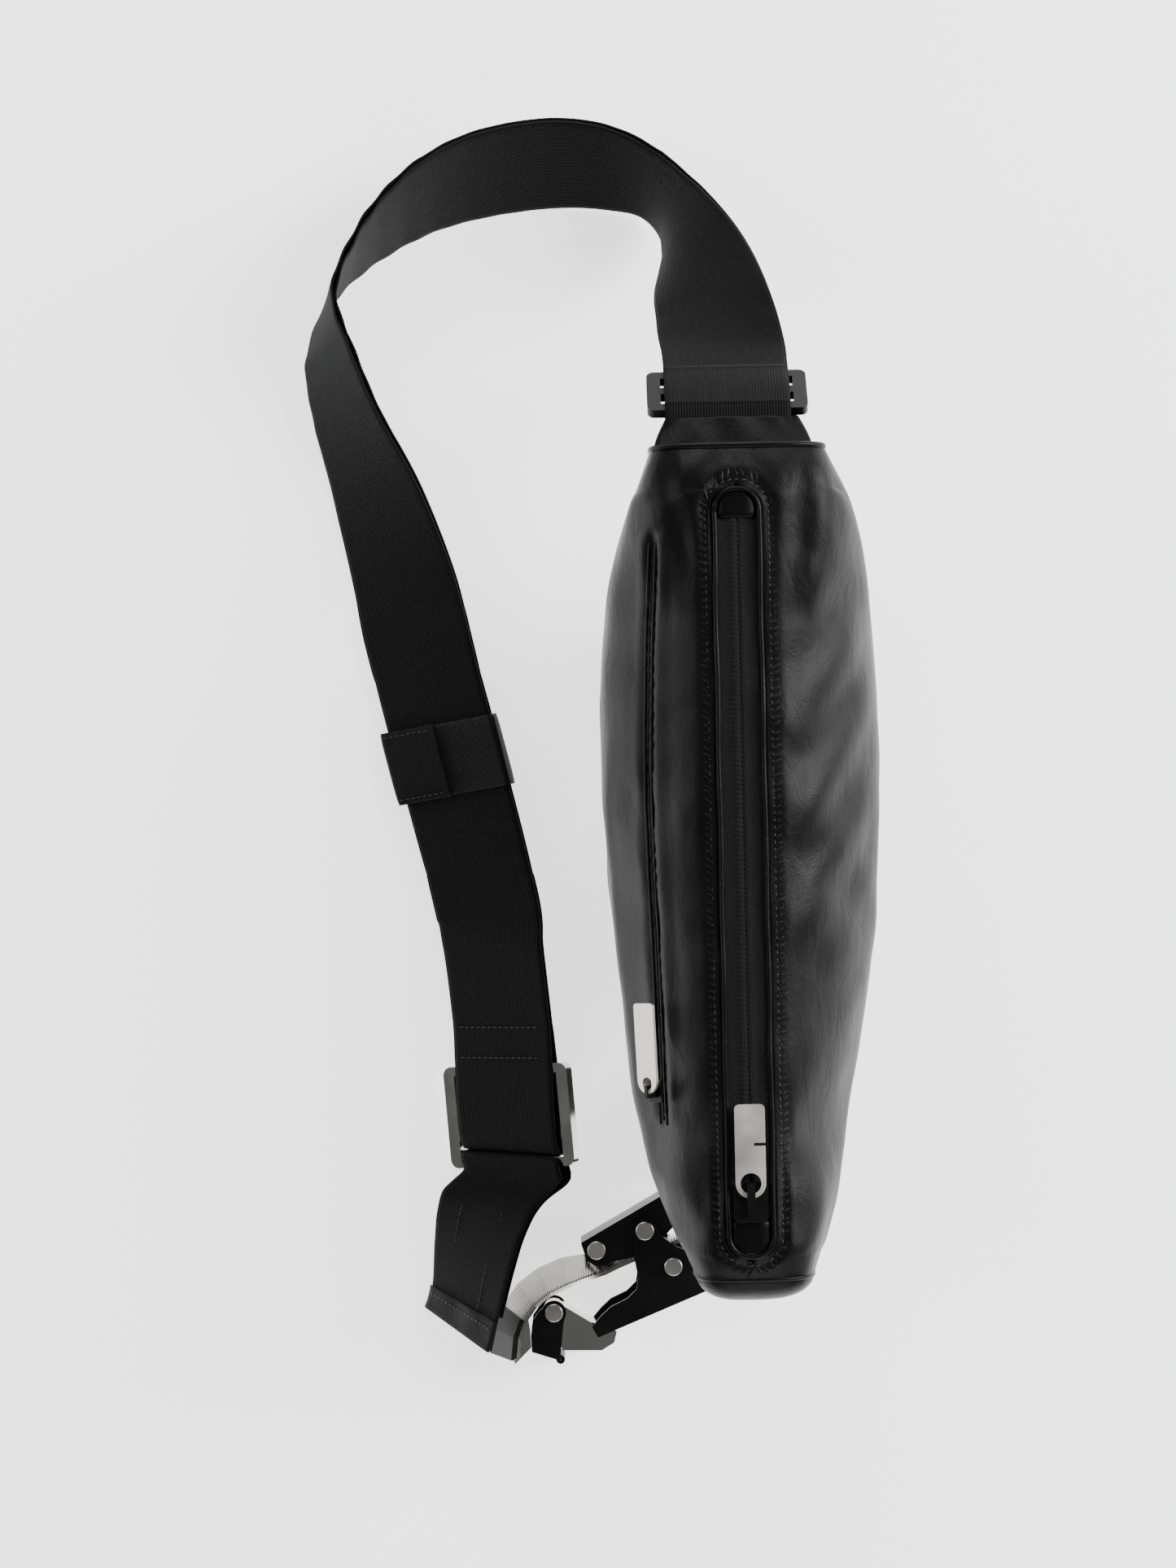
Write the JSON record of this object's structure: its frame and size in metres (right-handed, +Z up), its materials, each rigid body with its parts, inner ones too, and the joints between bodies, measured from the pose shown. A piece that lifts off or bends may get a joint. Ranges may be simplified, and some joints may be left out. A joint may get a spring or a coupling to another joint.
{
  "type": "padded sling bag",
  "caption": "Padded black leather sling bag with a full-length zip, a zipped pocket, a wide webbing strap and a steel ratchet buckle.",
  "frame": {"origin": "centre of the flat base, on the surface the bag stands on", "axes": "+Z up, +Y along the main zip towards the head end with the slide buckle, +X towards the front panel"},
  "size_m": [0.2381, 0.5317, 0.1553],
  "materials": {
    "leather": "smooth black leather with a fine grain and a soft sheen",
    "matte_leather": "matte black leather",
    "padding_foam": "soft foam padding",
    "lining_cloth": "plain woven lining",
    "board": "stiff sheet",
    "zip_cloth": "woven zip tape",
    "coil": "moulded black coil",
    "nickel": "warm brushed nickel with bright bevelled edges",
    "webbing": "fine ribbed black webbing",
    "black_steel": "satin black paint on steel",
    "chrome": "polished chrome",
    "bare_steel": "plain steel, lightly brushed"
  },
  "bodies": {
    "bag": {"adjuster_ring": "chrome", "back_padding": "padding_foam", "back_panel": "leather", "band_anchor": "black_steel", "band_carrier": "chrome", "band_teeth": "chrome", "band_webbing": "webbing", "base_board": "board", "base_gusset": "leather", "catch_bracket": "black_steel", "catch_rivet": "bare_steel", "end_piping": "leather", "foot_end_panel": "leather", "foot_tab_loop": "webbing", "foot_tab_webbing": "webbing", "front_padding": "padding_foam", "front_panel": "leather", "head_end_panel": "leather", "head_tab_leather": "leather", "head_tab_webbing": "webbing", "lining": "lining_cloth", "pocket_coil": "coil", "pocket_pouch": "lining_cloth", "pocket_tape": "zip_cloth", "slide_buckle": "black_steel", "strap_end_turns": "webbing", "strap_inner_arch": "webbing", "strap_inner_descent": "webbing", "strap_inner_run": "webbing", "strap_outer_arch": "webbing", "strap_outer_descent": "webbing", "strap_outer_run": "webbing", "tail_cap": "matte_leather", "tail_turn": "webbing", "tail_webbing": "webbing", "toothed_band": "chrome", "zip_coil_left": "coil", "zip_coil_right": "coil", "zip_gusset": "leather", "zip_stops": "matte_leather", "zip_tape_left": "zip_cloth", "zip_tape_right": "zip_cloth"},
    "main_slider": {"zip_slider": "black_steel"},
    "main_pull": {"zip_pull": "nickel"},
    "pocket_slider": {"pocket_slider": "black_steel"},
    "pocket_pull": {"pocket_pull": "nickel"},
    "keeper": {"keeper_webbing": "webbing", "keeper_leather": "matte_leather"},
    "ratchet_base": {"buckle_base": "black_steel", "base_rivets": "bare_steel", "cam_spring": "bare_steel"},
    "ratchet_lever": {"buckle_lever": "black_steel", "lever_rivet": "bare_steel", "lock_spring": "bare_steel"},
    "lock_pawl": {"lock_pawl": "bare_steel"},
    "grip_cam": {"grip_cam": "bare_steel"},
    "catch_plate": {"catch_plate": "chrome"}
  },
  "joints": [
    {"name": "main_zip_slide", "type": "slide", "parent": "bag", "child": "main_slider", "axis": [0, 1, 0], "range_m": [0, 0.26]},
    {"name": "main_pull_lift", "type": "hinge", "parent": "main_slider", "child": "main_pull", "pos_m": [0, -0.1272, 0.1517], "axis": [1, 0, 0], "range_deg": [0, 150]},
    {"name": "pocket_zip_slide", "type": "slide", "parent": "bag", "child": "pocket_slider", "axis": [-0.0365, 0.9993, 0], "range_m": [0, 0.2]},
    {"name": "pocket_pull_lift", "type": "hinge", "parent": "pocket_slider", "child": "pocket_pull", "pos_m": [-0.03911, -0.08711, 0.13161], "axis": [0.6689, 0.0245, 0.7429], "range_deg": [0, 120]},
    {"name": "keeper_slide", "type": "slide", "parent": "bag", "child": "keeper", "axis": [0.2345, -0.9721, 0], "range_m": [-0.02, 0.02]},
    {"name": "ratchet_feed", "type": "slide", "parent": "bag", "child": "ratchet_base", "axis": [-0.9272, -0.3746, 0], "range_m": [0, 0.0022]},
    {"name": "lever_swing", "type": "hinge", "parent": "ratchet_base", "child": "ratchet_lever", "pos_m": [-0.0405, -0.155, 0.0148], "axis": [0, 0, 1], "range_deg": [-60, 0]},
    {"name": "pawl_lift", "type": "hinge", "parent": "ratchet_lever", "child": "lock_pawl", "pos_m": [-0.06129, -0.16308, 0.0148], "axis": [0, 0, 1], "range_deg": [0, 10], "stiffness_Nm_per_rad": 0.05, "springref_deg": -5.73},
    {"name": "cam_release", "type": "hinge", "parent": "ratchet_base", "child": "grip_cam", "pos_m": [-0.02864, -0.17048, 0.0148], "axis": [0, 0, 1], "range_deg": [0, 15], "stiffness_Nm_per_rad": 0.05, "springref_deg": -5.73},
    {"name": "catch_swing", "type": "hinge", "parent": "bag", "child": "catch_plate", "pos_m": [-0.08002, -0.18984, 0.0148], "axis": [0, 0, 1], "range_deg": [0, 35]}
  ]
}
